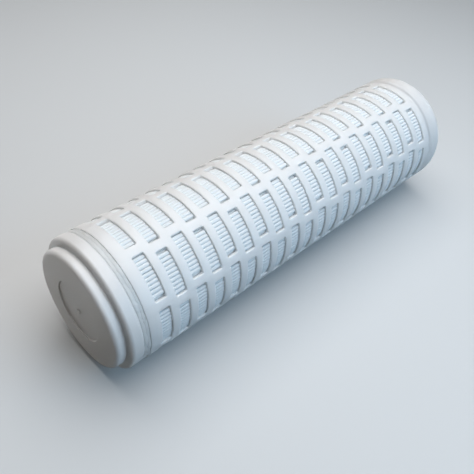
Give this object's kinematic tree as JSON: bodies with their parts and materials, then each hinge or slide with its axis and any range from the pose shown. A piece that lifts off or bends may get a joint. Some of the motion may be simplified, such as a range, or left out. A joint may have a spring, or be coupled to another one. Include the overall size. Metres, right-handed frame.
{
  "type": "pleated filter cartridge",
  "caption": "Pleated liquid filter cartridge: folded media between a windowed outer cage and a perforated core, welded into a closed end cap and an open end cap with a flat gasket.",
  "frame": {"origin": "centre of the gasket's sealing face on the open end, where the cartridge stands", "axes": "+Z along the cartridge's axis from the open end to the closed end cap; +X points away from the surface that the cartridge lies on in the picture; a row of windows is centred on +X"},
  "size_m": [0.069, 0.069, 0.25],
  "materials": {
    "cage": "moulded natural polypropylene, translucent white, satin",
    "end_cap": "moulded natural polypropylene, translucent white, satin",
    "core": "moulded natural polypropylene, translucent white, satin",
    "media": "thermally bonded white nonwoven, embossed with fine dots",
    "gasket": "moulded translucent silicone, matt"
  },
  "bodies": {
    "root": {"outer_cage": "cage", "closed_end_cap": "end_cap", "open_end_cap": "end_cap", "inner_core": "core", "pleated_media": "media", "end_gasket": "gasket"}
  },
  "joints": []
}
